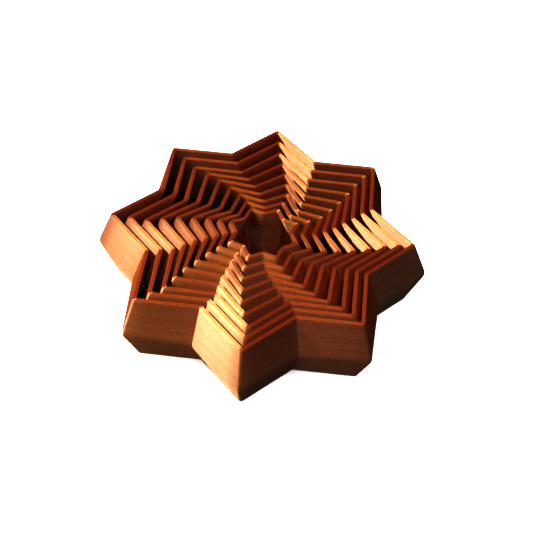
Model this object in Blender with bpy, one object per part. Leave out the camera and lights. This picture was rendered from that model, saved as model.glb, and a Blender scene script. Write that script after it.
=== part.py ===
"""Nested star puzzle: nine thin-walled star rings, one inside the other.

Every ring has the same height and the same bulged wall, narrow at both rims and widest halfway up. A ring
slides up or down in the one round it until its crest wedges in that ring's rim, so it can't fall out.
The rings lie loose: each is turned and shifted a little in the one round it.

Metres, +Z up. The origin is the middle of the outer ring's foot, on the surface that the rings stand on.
"""

import math

import bmesh
import bpy

# Driving sizes
TIP_COUNT = 8
OUTER_TIP_RADIUS = 0.0423  # outer ring, centre to the point of a tip, at the crest
HEIGHT = 0.020
FLARE = 0.0038  # how far the crest stands out beyond the rims, along the radius
CREST_FLAT = 0.0012  # height of the narrow land that blunts the crest
WALL = 0.0010  # measured level, square to the wall
TIP_ROUND = 0.0008  # outside radius of a tip
CORNER_ROUND = 0.0003  # radius of the corner inside a tip
FIRST_GAP = 0.0018  # between the outer ring's wall and the next ring's, square to both
GAP_TAPER = 0.00007  # how much narrower each next gap is

# How rings 2 to 9 lie: each one's turn and shift in the ring round it, as shares of its play there, and the
# direction of the shift in degrees. A minus turns it clockwise, seen from above.
LIE = (
    (-0.08, 0.42, -45),
    (-0.12, 0.46, -60),
    (-0.66, 0.10, -70),
    (-0.68, 0.08, -60),
    (-0.56, 0.16, -35),
    (-0.68, 0.02, -60),
    (-0.36, 0.28, 160),
    (-0.14, 0.40, 135),
)

ARC_STEPS = 3  # flats that make up each rounded corner
TIP_PITCH = 2 * math.pi / TIP_COUNT
HALF_TIP_ANGLE = math.pi / 4  # at the rims; the crest is a little blunter
HALF_VALLEY_ANGLE = HALF_TIP_ANGLE + TIP_PITCH / 2
COPPER_BROWN = (0.33, 0.13, 0.045, 1.0)
SHARP_ANGLE = math.radians(20)


def clear_scene():
    for obj in list(bpy.data.objects):
        bpy.data.objects.remove(obj, do_unlink=True)


def silk_plastic():
    material = bpy.data.materials.new("copper_brown_silk_plastic")
    material.use_nodes = True
    shader = material.node_tree.nodes["Principled BSDF"]
    shader.inputs["Base Color"].default_value = COPPER_BROWN
    shader.inputs["Roughness"].default_value = 0.38
    shader.inputs["Metallic"].default_value = 0.35
    material.diffuse_color = COPPER_BROWN
    return material


def on_circle(radius, angle):
    return (radius * math.cos(angle), radius * math.sin(angle))


def star_outline(wall_distance, push, rounding):
    """Points round a star whose wall lines pass wall_distance from its centre at the rims, with each tip and
    valley pushed out by push and each tip rounded. The first tip points along +Y."""
    tip_radius = wall_distance / math.sin(HALF_TIP_ANGLE) + push
    valley_radius = wall_distance / math.sin(HALF_VALLEY_ANGLE) + push
    across = valley_radius * math.sin(TIP_PITCH / 2)
    along = tip_radius - valley_radius * math.cos(TIP_PITCH / 2)
    half_angle = math.atan2(across, along)
    arc_centre = tip_radius - rounding / math.sin(half_angle)
    swing = math.pi / 2 - half_angle
    points = []
    for tip in range(TIP_COUNT):
        heading = math.pi / 2 + tip * TIP_PITCH
        centre = on_circle(arc_centre, heading)
        for step in range(ARC_STEPS + 1):
            spoke = on_circle(rounding, heading + swing * (2 * step / ARC_STEPS - 1))
            points.append((centre[0] + spoke[0], centre[1] + spoke[1]))
        points.append(on_circle(valley_radius, heading + TIP_PITCH / 2))
    return points


def ring_sections(wall_distance):
    """The outlines round a ring's wall, each with its height: up the outside and back down the inside."""
    rise = ((0.0, 0.0), ((HEIGHT - CREST_FLAT) / 2, FLARE), ((HEIGHT + CREST_FLAT) / 2, FLARE), (HEIGHT, 0.0))
    outside = [(z, star_outline(wall_distance, push, TIP_ROUND)) for z, push in rise]
    inside = [(z, star_outline(wall_distance - WALL, push, CORNER_ROUND)) for z, push in reversed(rise)]
    return outside + inside


def ring_mesh(name, wall_distance):
    """A closed band: the outlines joined one to the next, and the last to the first."""
    shape = bmesh.new()
    loops = [
        [shape.verts.new((x, y, z)) for x, y in outline]
        for z, outline in ring_sections(wall_distance)
    ]
    for index, loop in enumerate(loops):
        following = loops[(index + 1) % len(loops)]
        for here in range(len(loop)):
            there = (here + 1) % len(loop)
            shape.faces.new((loop[here], loop[there], following[there], following[here]))
    bmesh.ops.triangulate(shape, faces=shape.faces[:], quad_method="SHORT_EDGE")
    bmesh.ops.recalc_face_normals(shape, faces=shape.faces[:])
    mesh = bpy.data.meshes.new(name)
    shape.to_mesh(mesh)
    shape.free()
    mesh.shade_smooth()
    mesh.set_sharp_from_angle(angle=SHARP_ANGLE)
    return mesh


def lay_in(ring, parent, wall_distance, gap, turn_share, shift_share, heading):
    """Put a ring loosely in its parent. All its play in turn brings the crest's tips to the parent's walls."""
    tip_arm = (wall_distance / math.sin(HALF_TIP_ANGLE) + FLARE) * math.cos(HALF_TIP_ANGLE)
    ring.parent = parent
    ring.location = (*on_circle(shift_share * gap, math.radians(heading)), 0.0)
    ring.rotation_euler.z = turn_share * gap / tip_arm


def add_ring(number, wall_distance, material):
    name = f"star_ring_{number}"
    ring = bpy.data.objects.new(name, ring_mesh(name, wall_distance))
    ring.data.materials.append(material)
    bpy.context.scene.collection.objects.link(ring)
    return ring


clear_scene()
plastic = silk_plastic()
distance = (OUTER_TIP_RADIUS - FLARE) * math.sin(HALF_TIP_ANGLE)
outer = add_ring(1, distance, plastic)
for number, lie in enumerate(LIE, start=2):
    gap = FIRST_GAP - GAP_TAPER * (number - 2)
    distance -= WALL + gap
    ring = add_ring(number, distance, plastic)
    lay_in(ring, outer, distance, gap, *lie)
    outer = ring
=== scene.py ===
"""Nested star puzzle: nine star rings printed in copper-brown silk plastic, one inside the other.

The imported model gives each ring's place and size. This script makes each ring's printed surface and its
finish, and the studio round it. Metres, +Z up.
"""

import math

import bpy
from mathutils import Matrix, Vector


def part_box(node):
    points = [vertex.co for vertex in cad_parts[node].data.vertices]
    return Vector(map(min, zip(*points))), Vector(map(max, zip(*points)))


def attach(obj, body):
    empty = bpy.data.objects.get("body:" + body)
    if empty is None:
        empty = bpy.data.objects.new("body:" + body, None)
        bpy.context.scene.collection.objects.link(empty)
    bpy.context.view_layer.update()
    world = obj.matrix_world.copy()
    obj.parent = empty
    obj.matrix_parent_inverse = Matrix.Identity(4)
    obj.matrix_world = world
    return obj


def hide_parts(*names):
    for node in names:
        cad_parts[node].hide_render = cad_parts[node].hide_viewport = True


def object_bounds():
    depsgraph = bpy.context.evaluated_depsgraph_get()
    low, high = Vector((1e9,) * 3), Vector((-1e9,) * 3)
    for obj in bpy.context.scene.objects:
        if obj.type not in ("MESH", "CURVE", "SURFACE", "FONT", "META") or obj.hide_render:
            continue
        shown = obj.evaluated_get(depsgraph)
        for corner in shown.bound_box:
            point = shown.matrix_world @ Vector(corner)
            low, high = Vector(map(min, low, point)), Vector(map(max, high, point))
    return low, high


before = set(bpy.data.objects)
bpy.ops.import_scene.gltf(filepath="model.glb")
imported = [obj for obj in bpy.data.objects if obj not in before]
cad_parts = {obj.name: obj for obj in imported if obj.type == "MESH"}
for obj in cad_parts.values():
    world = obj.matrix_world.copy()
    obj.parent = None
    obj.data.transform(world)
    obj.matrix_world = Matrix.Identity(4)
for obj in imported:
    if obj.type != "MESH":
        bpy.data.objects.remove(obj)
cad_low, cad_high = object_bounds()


# ---- Camera --------------------------------------------------------------------------------------------
# A long lens looks down at the star from the front and a little from the right, held slightly askew.

VIEW_AZIMUTH = math.radians(4.8)
VIEW_ELEVATION = math.radians(47.9)
VIEW_ROLL = math.radians(2.4)
VIEW_DISTANCE = 0.2635
AIM_RIGHT = 0.0016  # of the middle of the star's foot
AIM_UP = 0.0042
LENS = 67.4


def add_camera():
    back = Vector((
        math.sin(VIEW_AZIMUTH) * math.cos(VIEW_ELEVATION),
        -math.cos(VIEW_AZIMUTH) * math.cos(VIEW_ELEVATION),
        math.sin(VIEW_ELEVATION),
    ))
    right = Vector((math.cos(VIEW_AZIMUTH), math.sin(VIEW_AZIMUTH), 0))
    up = back.cross(right)
    foot = Vector(((cad_low[0] + cad_high[0]) / 2, (cad_low[1] + cad_high[1]) / 2, cad_low[2]))
    place = foot + right * AIM_RIGHT + up * AIM_UP + back * VIEW_DISTANCE
    turned_right = right * math.cos(VIEW_ROLL) + up * math.sin(VIEW_ROLL)
    turned_up = up * math.cos(VIEW_ROLL) - right * math.sin(VIEW_ROLL)
    facing = Matrix((turned_right, turned_up, back)).transposed().to_4x4()
    camera = bpy.data.objects.new("camera", bpy.data.cameras.new("camera"))
    camera.matrix_world = Matrix.Translation(place) @ facing
    camera.data.lens = LENS
    camera.data.clip_start = 0.01
    bpy.context.scene.collection.objects.link(camera)
    bpy.context.scene.camera = camera


add_camera()


# ---- Star rings ----------------------------------------------------------------------------------------
# Each ring is a thin closed wall of copper-brown "silk" plastic, printed as level beads, one on the next,
# with two side by side round each rim. It bulges halfway up, so it slides in the ring round it and can't fall
# out, and nothing fastens it. Its sheen stretches across the beads: a wall flares where a lamp rakes it.

TIPS = 8
HALF_PITCH = math.pi / TIPS  # from a tip to the valley beside it
HALF_TIP = math.radians(45)  # between a tip's middle line and its wall
TIP_ROUND = 0.0008
CORNER_ROUND = 0.0003  # of a tip on the wall's inside
VALLEY_ROUND = 0.0004
CREST_FLAT = 0.0012  # the upright band halfway up
CREST_BLUNTING = 0.14  # how softly the slopes run into it
LAYER_HEIGHT = 0.00025
GROOVE = 0.00006
UNEVENNESS = 0.00003
RIM_GROOVE = 0.00011
BEAD_SHOULDER = 0.22  # where a bead's flank ends, as a share of the layer
CORNER_STEPS = 4  # points added in rounding a corner
WALL_CUTS = 3  # points added along a flat wall
RIM_STEPS = 8  # from one edge of a rim to the other
SAME_PLACE = 0.0001  # how closely the points of a solid's edge agree, in metres
SAME_ANGLE = 0.002  # and in radians
WALL_COPPER = (0.46, 0.078, 0.022, 1)
# Painted shade: the rims are the same plastic as the walls, but their copper is made a little darker because
# they face up into the lamps.
RIM_COPPER_PAINTED_SHADE = (0.40, 0.074, 0.020, 1)
THIN_SHARE = 0.88  # of the copper that is left where a bead is laid thin
WALL_SHEEN = (1.0, 0.70, 0.40, 1)
# Painted shade: the rims' sheen tint is darker and more orange than the walls', to dim the highlight on the
# up-facing rims.
RIM_SHEEN_PAINTED_SHADE = (0.9, 0.46, 0.15, 1)
BAND_HEIGHT = 2 * LAYER_HEIGHT  # layers of one tone
STREAK_LENGTH = 0.03
STREAK_WIDTH = 0.0004
DASH_LENGTH = 0.00045
DASH_WIDTH = 0.0003
LEAST_MARK = 0.42  # fainter marks bring out no metal flake


class Term:
    """A socket that takes part in sums, so that a tree's formulas read as formulas."""

    def __init__(self, tree, socket):
        self.tree = tree
        self.socket = socket

    def calc(self, operation, *others):
        maths = self.tree.nodes.new("ShaderNodeMath")
        maths.operation = operation
        for socket, item in zip(maths.inputs, (self, *others)):
            plug(self.tree, item, socket)
        return Term(self.tree, maths.outputs[0])

    def __add__(self, other):
        return self.calc("ADD", other)

    def __sub__(self, other):
        return self.calc("SUBTRACT", other)

    def __rsub__(self, other):
        return (self * -1) + other

    def __mul__(self, other):
        return self.calc("MULTIPLY", other)

    def __truediv__(self, other):
        return self.calc("DIVIDE", other)

    def floor(self):
        return self.calc("FLOOR")

    def above(self, other):
        return self.calc("GREATER_THAN", other)


def plug(tree, item, socket):
    """Link a term or a socket to this one, or set its value."""
    if isinstance(item, Term):
        item = item.socket
    if isinstance(item, bpy.types.NodeSocket):
        tree.links.new(item, socket)
    else:
        socket.default_value = item


def add_node(tree, kind, settings=None, **inputs):
    """A new node. Its inputs are named in plain words with _ for a space."""
    node = tree.nodes.new(kind)
    for name, value in (settings or {}).items():
        setattr(node, name, value)
    for name, item in inputs.items():
        wanted = name.replace("_", " ")
        socket = next(s for s in node.inputs if s.name.lower() == wanted and s.enabled)
        plug(tree, item, socket)
    return node


def new_tree(name, kind, inputs, outputs):
    """A node group with these inputs and outputs, (name, kind) each. Gives it and its inputs as terms."""
    tree = bpy.data.node_groups.new(name, kind)
    for way, sockets in (("INPUT", inputs), ("OUTPUT", outputs)):
        for label, value in sockets:
            tree.interface.new_socket(label, in_out=way, socket_type=f"NodeSocket{value}")
    entry = tree.nodes.new("NodeGroupInput")
    return tree, {label: Term(tree, entry.outputs[label]) for label, value in inputs}


def mixed(tree, kind, factor, first, second):
    """A blend of two values, vectors or colours, with kind FLOAT, VECTOR or RGBA."""
    mix = add_node(
        tree, "ShaderNodeMix", {"data_type": kind, "clamp_factor": False},
        factor=factor, a=first, b=second,
    )
    return Term(tree, next(s for s in mix.outputs if s.enabled))


def print_marks_group():
    """What laying beads leaves on a surface: a tone for each band of layers, long streaks along the beads,
    and short dashes where the flow of plastic wavers."""
    tree, given = new_tree("print_marks", "ShaderNodeTree", (
        ("Band Height", "Float"), ("Streak Length", "Float"), ("Streak Width", "Float"),
        ("Dash Length", "Float"), ("Dash Width", "Float"),
    ), (("Tone", "Float"), ("Dashes", "Float"), ("Relief", "Float")))
    spot = tree.nodes.new("ShaderNodeTexCoord").outputs["Object"]
    apart = add_node(tree, "ShaderNodeSeparateXYZ", vector=spot)
    band = (Term(tree, apart.outputs["Z"]) / given["Band Height"]).floor()
    by_band = add_node(tree, "ShaderNodeTexWhiteNoise", {"noise_dimensions": "1D"}, w=band)

    def stretched_noise(length, width):
        pull = add_node(tree, "ShaderNodeCombineXYZ", x=length, y=length, z=width)
        drawn = add_node(tree, "ShaderNodeVectorMath", {"operation": "DIVIDE"})
        plug(tree, spot, drawn.inputs[0])
        plug(tree, pull.outputs[0], drawn.inputs[1])
        noise = add_node(
            tree, "ShaderNodeTexNoise", vector=drawn.outputs[0], scale=1.0, detail=2.0, roughness=0.6,
        )
        return Term(tree, noise.outputs[0])

    streak = stretched_noise(given["Streak Length"], given["Streak Width"])
    dash = stretched_noise(given["Dash Length"], given["Dash Width"])
    tone = streak * 0.4 + Term(tree, by_band.outputs["Value"]) * 0.6
    add_node(tree, "NodeGroupOutput", tone=tone, dashes=dash, relief=streak * 0.3 + dash * 0.7)
    return tree


def silk_finish(name, marks, copper, sheen, roughness, wavering, flake, relief):
    """The plastic: its colour, sheen and roughness, how far the marks change that and how much metal flake
    they bring out, and its relief."""
    material = bpy.data.materials.new(name)
    material.use_nodes = True
    tree = material.node_tree
    shader = tree.nodes["Principled BSDF"]
    shader.inputs["IOR"].default_value = 3.0
    shader.inputs["Specular IOR Level"].default_value = 1.0
    shader.inputs["Specular Tint"].default_value = sheen
    shader.inputs["Anisotropic"].default_value = 0.96
    shader.inputs["Anisotropic Rotation"].default_value = 0.25
    way = add_node(tree, "ShaderNodeAttribute", {"attribute_name": "bead_way"})
    plug(tree, way.outputs["Vector"], shader.inputs["Tangent"])
    print_marks = add_node(
        tree, "ShaderNodeGroup", {"node_tree": marks},
        band_height=BAND_HEIGHT, streak_length=STREAK_LENGTH, streak_width=STREAK_WIDTH,
        dash_length=DASH_LENGTH, dash_width=DASH_WIDTH,
    )
    mark = {socket.name: Term(tree, socket) for socket in print_marks.outputs}
    spread = add_node(tree, "ShaderNodeMapRange", value=mark["Tone"], from_min=0.2, from_max=0.8)
    thin = tuple(part * THIN_SHARE for part in copper[:3]) + (1,)
    plug(tree, mixed(tree, "RGBA", Term(tree, spread.outputs[0]), thin, copper), shader.inputs["Base Color"])
    plug(tree, (mark["Dashes"] + mark["Tone"] - 1.0) * wavering + roughness, shader.inputs["Roughness"])
    brought_out = (mark["Dashes"] * 0.7 + mark["Tone"] * 0.3 - LEAST_MARK).calc("MAXIMUM", 0.0)
    plug(tree, brought_out * flake, shader.inputs["Metallic"])
    bump = add_node(tree, "ShaderNodeBump", distance=relief, height=mark["Relief"])
    plug(tree, bump.outputs[0], shader.inputs["Normal"])
    return material


marks = print_marks_group()
wall_finish = silk_finish(
    "silk_wall", marks, WALL_COPPER, WALL_SHEEN, roughness=0.58, wavering=0.15, flake=1.5, relief=0.00005,
)
# The rims are the same plastic as the walls; their darker copper and sheen are painted shade.
rim_finish_painted_shade = silk_finish(
    "silk_rim_painted_shade", marks, RIM_COPPER_PAINTED_SHADE, RIM_SHEEN_PAINTED_SHADE, roughness=0.54, wavering=0.15, flake=1.0, relief=0.00003,
)


def star_outline_tree():
    """One outline of a star. Its walls pass Wall Distance from the centre, and each corner then goes out by
    Push."""
    tree, given = new_tree("star_outline", "GeometryNodeTree", (
        ("Wall Distance", "Float"), ("Push", "Float"), ("Tip Round", "Float"), ("Valley Round", "Float"),
    ), (("Geometry", "Geometry"),))
    star = add_node(
        tree, "GeometryNodeCurveStar",
        points=TIPS,
        outer_radius=given["Wall Distance"] / math.sin(HALF_TIP) + given["Push"],
        inner_radius=given["Wall Distance"] / math.sin(HALF_TIP + HALF_PITCH) + given["Push"],
        twist=0,
    )
    radius = add_node(
        tree, "GeometryNodeSwitch", {"input_type": "FLOAT"},
        switch=star.outputs["Outer Points"], false=given["Valley Round"], true=given["Tip Round"],
    )
    fillet = add_node(
        tree, "GeometryNodeFilletCurve", {"mode": "POLY"},
        curve=star.outputs["Curve"], count=CORNER_STEPS, radius=radius.outputs[0],
    )
    index = Term(tree, add_node(tree, "GeometryNodeInputIndex").outputs[0])
    corner_points = CORNER_STEPS + 1
    last_of_corner = index.calc("MODULO", corner_points).above(corner_points - 1.5)
    subdivide = add_node(
        tree, "GeometryNodeSubdivideCurve", curve=fillet.outputs[0], cuts=last_of_corner * WALL_CUTS,
    )
    add_node(tree, "NodeGroupOutput", geometry=subdivide.outputs[0])
    return tree


def printed_ring_tree(outline_tree):
    """A ring's whole surface: rows run round the wall's section, up the outside, over the rim, down the
    inside and back under, and columns follow the star's outline."""
    tree, given = new_tree("printed_star_ring", "GeometryNodeTree", (
        ("Wall Distance", "Float"), ("Wall", "Float"), ("Flare", "Float"), ("Height", "Float"),
        ("Crest Flat", "Float"), ("Layers", "Int"), ("Centre", "Vector"), ("Turn", "Vector"), ("Seed", "Int"),
        ("Wall Finish", "Material"), ("Rim Finish Painted Shade", "Material"),
    ), (("Geometry", "Geometry"),))

    def outline(distance, push, tip_round, valley_round):
        star = add_node(
            tree, "GeometryNodeGroup", {"node_tree": outline_tree},
            wall_distance=distance, push=push, tip_round=tip_round, valley_round=valley_round,
        )
        return star.outputs[0]

    inner_distance = given["Wall Distance"] - given["Wall"]
    inner_valley = given["Wall"] + VALLEY_ROUND
    outer_rim = outline(given["Wall Distance"], 0.0, TIP_ROUND, VALLEY_ROUND)
    outer_crest = outline(given["Wall Distance"], given["Flare"], TIP_ROUND, VALLEY_ROUND)
    inner_rim = outline(inner_distance, 0.0, CORNER_ROUND, inner_valley)
    inner_crest = outline(inner_distance, given["Flare"], CORNER_ROUND, inner_valley)

    # A closed band of the right number of columns and rows, to be laid on the outlines.
    size = add_node(tree, "GeometryNodeAttributeDomainSize", {"component": "CURVE"}, geometry=outer_rim)
    columns = Term(tree, size.outputs["Point Count"])
    wall_rows = given["Layers"] * 3
    half = wall_rows + RIM_STEPS
    rows = half * 2
    round_star = add_node(tree, "GeometryNodeCurvePrimitiveCircle", resolution=columns, radius=1.0)
    round_section = add_node(tree, "GeometryNodeCurvePrimitiveCircle", resolution=rows, radius=0.1)
    band = add_node(
        tree, "GeometryNodeCurveToMesh", curve=round_star.outputs[0], profile_curve=round_section.outputs[0],
    )

    index = Term(tree, add_node(tree, "GeometryNodeInputIndex").outputs[0])
    column = ((index + 0.5) / rows).floor()
    row = index - column * rows
    inside = row.above(half - 0.5)
    step = row - inside * half

    # Up one side: three rows to a layer, one in its groove and one at each shoulder of its bead.
    layer = ((step + 0.5) / 3).floor()
    phase = step - layer * 3
    on_bead = phase.above(0.5)
    in_layer = on_bead * BEAD_SHOULDER + phase.above(1.5) * (1 - 2 * BEAD_SHOULDER)
    layer_height = given["Height"] / given["Layers"]
    rise = (layer + in_layer) * layer_height
    rise = rise.calc("MAXIMUM", RIM_GROOVE).calc("MINIMUM", given["Height"] - RIM_GROOVE)
    uneven = add_node(
        tree, "FunctionNodeRandomValue", {"data_type": "FLOAT"},
        min=0.0, max=UNEVENNESS, id=layer, seed=given["Seed"],
    )
    inset = mixed(tree, "FLOAT", on_bead, GROOVE, uneven.outputs[1]) / given["Wall"]

    # Across the rim: two beads side by side.
    on_rim = step.above(wall_rows + 0.5)
    rim_share = (step - wall_rows) / RIM_STEPS
    wave = (rim_share * (2 * math.pi)).calc("COSINE")
    rim_rise = given["Height"] - wave * wave * RIM_GROOVE
    across = mixed(tree, "FLOAT", on_rim, inset, rim_share)
    rise = mixed(tree, "FLOAT", on_rim, rise, rim_rise)

    # The other side is the same, turned over.
    across = mixed(tree, "FLOAT", inside, across, 1 - across)
    rise = mixed(tree, "FLOAT", inside, rise, given["Height"] - rise)

    nearness = 1 - (rise * 2 / given["Height"] - 1).calc("ABSOLUTE")
    share = nearness * given["Height"] / (given["Height"] - given["Crest Flat"])
    share = share.calc("SMOOTH_MIN", 1.0, CREST_BLUNTING)

    position = add_node(tree, "GeometryNodeInputPosition").outputs[0]

    def on_outline(curve, at=column):
        sample = add_node(
            tree, "GeometryNodeSampleIndex", {"data_type": "FLOAT_VECTOR", "domain": "POINT"},
            geometry=curve, value=position, index=at,
        )
        return Term(tree, sample.outputs[0])

    outer = mixed(tree, "VECTOR", share, on_outline(outer_rim), on_outline(outer_crest))
    inner = mixed(tree, "VECTOR", share, on_outline(inner_rim), on_outline(inner_crest))
    level = mixed(tree, "VECTOR", across, outer, inner)
    lift = add_node(tree, "ShaderNodeCombineXYZ", z=rise)
    laid = add_node(
        tree, "GeometryNodeSetPosition", geometry=band.outputs[0], position=level, offset=lift.outputs[0],
    )
    outward = add_node(tree, "GeometryNodeFlipFaces", mesh=laid.outputs[0])
    smooth = add_node(tree, "GeometryNodeSetShadeSmooth", geometry=outward.outputs[0], shade_smooth=True)

    # The way that the beads run, kept for the finish: its sheen stretches across them.
    ahead = on_outline(outer_rim, (column + 1).calc("MODULO", columns))
    behind = on_outline(outer_rim, (column + columns - 1).calc("MODULO", columns))
    along = add_node(tree, "ShaderNodeVectorMath", {"operation": "SUBTRACT"})
    plug(tree, ahead, along.inputs[0])
    plug(tree, behind, along.inputs[1])
    unit = add_node(tree, "ShaderNodeVectorMath", {"operation": "NORMALIZE"}, vector=along.outputs[0])
    turned = add_node(
        tree, "ShaderNodeVectorRotate", {"rotation_type": "EULER_XYZ"},
        vector=unit.outputs[0], rotation=given["Turn"],
    )
    kept = add_node(
        tree, "GeometryNodeStoreNamedAttribute", {"data_type": "FLOAT_VECTOR", "domain": "POINT"},
        geometry=smooth.outputs[0], name="bead_way", value=turned.outputs[0],
    )
    placed = add_node(
        tree, "GeometryNodeTransform", geometry=kept.outputs[0], translation=given["Centre"],
        rotation=given["Turn"],
    )
    whole = add_node(tree, "GeometryNodeRealizeInstances", geometry=placed.outputs[0])
    walls = add_node(
        tree, "GeometryNodeSetMaterial",
        geometry=whole.outputs[0], material=given["Wall Finish"],
    )
    rims = add_node(
        tree, "GeometryNodeSetMaterial",
        geometry=walls.outputs[0], selection=on_rim, material=given["Rim Finish Painted Shade"],
    )
    add_node(tree, "NodeGroupOutput", geometry=rims.outputs[0])
    return tree


def ring_in_frame(node_name):
    """A ring's centre, turn and sizes, read from its solid in the frame."""
    low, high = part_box(node_name)
    middle = (low + high) / 2
    spots = [(vertex.co - middle, vertex.co.z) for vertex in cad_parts[node_name].data.vertices]
    reach = max(spot.xy.length for spot, z in spots)
    tips = [math.atan2(spot.y, spot.x) for spot, z in spots if spot.xy.length > reach - SAME_PLACE]
    sideways = sum(math.sin(TIPS * angle) for angle in tips)
    ahead = sum(math.cos(TIPS * angle) for angle in tips)
    turn = math.atan2(sideways, ahead) / TIPS
    valleys = [
        (spot.xy.length, z) for spot, z in spots
        if abs((math.atan2(spot.y, spot.x) - turn) % (2 * HALF_PITCH) - HALF_PITCH) < SAME_ANGLE
    ]
    rim = [radius for radius, z in valleys if z > high.z - SAME_PLACE]
    crest = max(radius for radius, z in valleys)
    square_on = math.sin(HALF_TIP + HALF_PITCH)
    return {
        "Wall Distance": max(rim) * square_on,
        "Wall": (max(rim) - min(rim)) * square_on,
        "Flare": crest - max(rim),
        "Height": high.z - low.z,
        "Layers": round((high.z - low.z) / LAYER_HEIGHT),
        "Centre": Vector((middle.x, middle.y, low.z)),
        "Turn": Vector((0, 0, turn)),
    }


def made_plain(piece):
    """Replace a piece's modifiers by the mesh they make."""
    graph = bpy.context.evaluated_depsgraph_get()
    mesh = bpy.data.meshes.new_from_object(
        piece.evaluated_get(graph), preserve_all_data_layers=True, depsgraph=graph,
    )
    piece.modifiers.clear()
    piece.data = mesh


def add_ring(number, tree):
    settings = ring_in_frame(f"star_ring_{number}")
    settings["Crest Flat"] = CREST_FLAT
    settings["Seed"] = number
    settings["Wall Finish"] = wall_finish
    settings["Rim Finish Painted Shade"] = rim_finish_painted_shade
    name = f"printed_star_{number}"
    piece = bpy.data.objects.new(name, bpy.data.meshes.new(name))
    modifier = piece.modifiers.new("printed_ring", "NODES")
    modifier.node_group = tree
    for socket in tree.interface.items_tree:
        if socket.in_out == "INPUT":
            modifier[socket.identifier] = settings[socket.name]
    bpy.context.scene.collection.objects.link(piece)
    made_plain(piece)
    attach(piece, f"ring_{number}")
    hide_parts(f"star_ring_{number}")
    return piece


ring_tree = printed_ring_tree(star_outline_tree())
rings = [add_ring(number, ring_tree) for number in range(1, len(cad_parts) + 1)]


# ---- Studio --------------------------------------------------------------------------------------------
# A pale floor under an even sky, a small strong lamp on the left that rakes across the walls, and broad weak
# lamps all round. The lamps light the rings only and the sky the floor only. The backdrop is white.

FLOOR_COLOUR = (0.86, 0.86, 0.86, 1)
FLOOR_BOUNCE = (0.009, 0.009, 0.009, 1)  # what the floor gives back to the rings
FLOOR_REACH = 3.0
FLOOR_DROP = 0.0001  # below the rings' feet
BACKDROP = (1, 1, 1, 1)
BACKDROP_GLOW = 0.01  # what the backdrop gives the rings
SKY_STRENGTH = 15.0
SKY_SPREAD = math.radians(100)
KEY_DISTANCE = 0.8
KEY_SIZE = 0.05
FILL_DISTANCE = 1.0
FILL_SIZE = 0.5
GAMMA = 0.69

# Each fill's name, heading and elevation in degrees, watts and colour.
FILLS = (
    ("front_left", -135, 20, 2.4, (0.94, 0.96, 1.0)),
    ("high_left", -135, 50, 1.8, (1.0, 0.66, 0.10)),
    ("low_left", 180, 15, 0.6, (1.0, 0.80, 0.30)),
    ("back_left", 135, 35, 1.5, (1.0, 0.60, 0.30)),
    ("front", -90, 50, 0.7, (0.75, 0.85, 1.0)),
    ("front_right", -45, 50, 0.75, (0.8, 0.8, 1.0)),
    ("right", 0, 20, 0.4, (0.5, 0.85, 1.0)),
    ("back_right", 45, 50, 0.3, (1.0, 0.3, 0.2)),
    ("top", 0, 90, 1.8, (1.0, 0.5, 0.15)),
)


def show_and_light(tree, shown, lighting, surface):
    """Show the camera one shader, and let the other light things."""
    path = tree.nodes.new("ShaderNodeLightPath")
    mix = tree.nodes.new("ShaderNodeMixShader")
    tree.links.new(path.outputs["Is Camera Ray"], mix.inputs[0])
    tree.links.new(lighting.outputs[0], mix.inputs[1])
    tree.links.new(shown.outputs[0], mix.inputs[2])
    tree.links.new(mix.outputs[0], surface)


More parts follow.
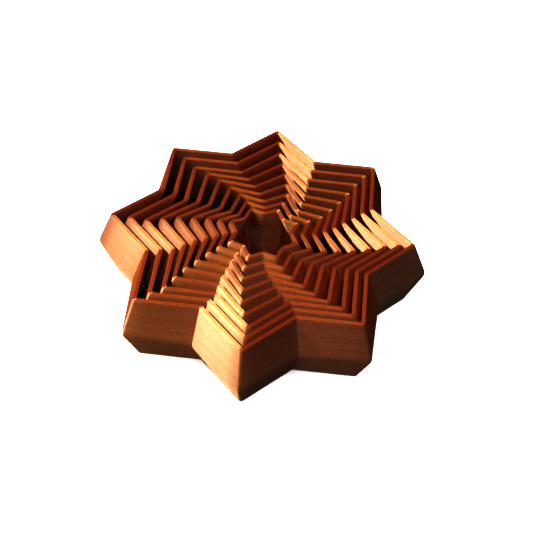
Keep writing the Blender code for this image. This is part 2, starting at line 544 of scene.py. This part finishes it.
def add_floor():
    corners = [
        (-FLOOR_REACH, -FLOOR_REACH, 0), (FLOOR_REACH, -FLOOR_REACH, 0),
        (FLOOR_REACH, FLOOR_REACH, 0), (-FLOOR_REACH, FLOOR_REACH, 0),
    ]
    mesh = bpy.data.meshes.new("floor")
    mesh.from_pydata(corners, [], [(0, 1, 2, 3)])
    floor = bpy.data.objects.new("floor", mesh)
    floor.location.z = cad_low[2] - FLOOR_DROP
    material = bpy.data.materials.new("pale_floor")
    material.use_nodes = True
    tree = material.node_tree
    tree.nodes.remove(tree.nodes["Principled BSDF"])
    seen = add_node(tree, "ShaderNodeBsdfDiffuse", color=FLOOR_COLOUR)
    bounced = add_node(tree, "ShaderNodeBsdfDiffuse", color=FLOOR_BOUNCE)
    show_and_light(tree, seen, bounced, tree.nodes["Material Output"].inputs["Surface"])
    mesh.materials.append(material)
    bpy.context.scene.collection.objects.link(floor)
    return floor


def add_lamp(name, heading, elevation, watts, colour, distance, size):
    lamp = bpy.data.lights.new(name, "AREA")
    lamp.shape = "DISK"
    lamp.size = size
    lamp.energy = watts
    lamp.color = colour
    obj = bpy.data.objects.new(name, lamp)
    heading = math.radians(heading)
    elevation = math.radians(elevation)
    level = math.cos(elevation)
    way = Vector((math.cos(heading) * level, math.sin(heading) * level, math.sin(elevation)))
    obj.location = way * distance
    obj.rotation_euler = way.to_track_quat("Z", "Y").to_euler()
    bpy.context.scene.collection.objects.link(obj)
    return obj


def add_sky():
    sky = bpy.data.lights.new("sky", "SUN")
    sky.energy = SKY_STRENGTH
    sky.angle = SKY_SPREAD
    obj = bpy.data.objects.new("sky", sky)
    bpy.context.scene.collection.objects.link(obj)
    return obj


def light_only(lamp, things):
    group = bpy.data.collections.new(lamp.name + "_lights")
    for thing in things:
        group.objects.link(thing)
    lamp.light_linking.receiver_collection = group


def add_backdrop():
    world = bpy.data.worlds.new("studio")
    world.use_nodes = True
    tree = world.node_tree
    glow = tree.nodes["Background"]
    glow.inputs["Color"].default_value = BACKDROP
    glow.inputs["Strength"].default_value = BACKDROP_GLOW
    seen = add_node(tree, "ShaderNodeBackground", color=BACKDROP)
    show_and_light(tree, seen, glow, tree.nodes["World Output"].inputs["Surface"])
    bpy.context.scene.world = world


floor = add_floor()
light_only(add_lamp("key", 180, 46, 6.8, (1.0, 1.0, 1.0), KEY_DISTANCE, KEY_SIZE), rings)
for fill in FILLS:
    light_only(add_lamp(*fill, FILL_DISTANCE, FILL_SIZE), rings)
light_only(add_sky(), [floor])
add_backdrop()
bpy.context.scene.view_settings.view_transform = "Standard"
bpy.context.scene.view_settings.gamma = GAMMA
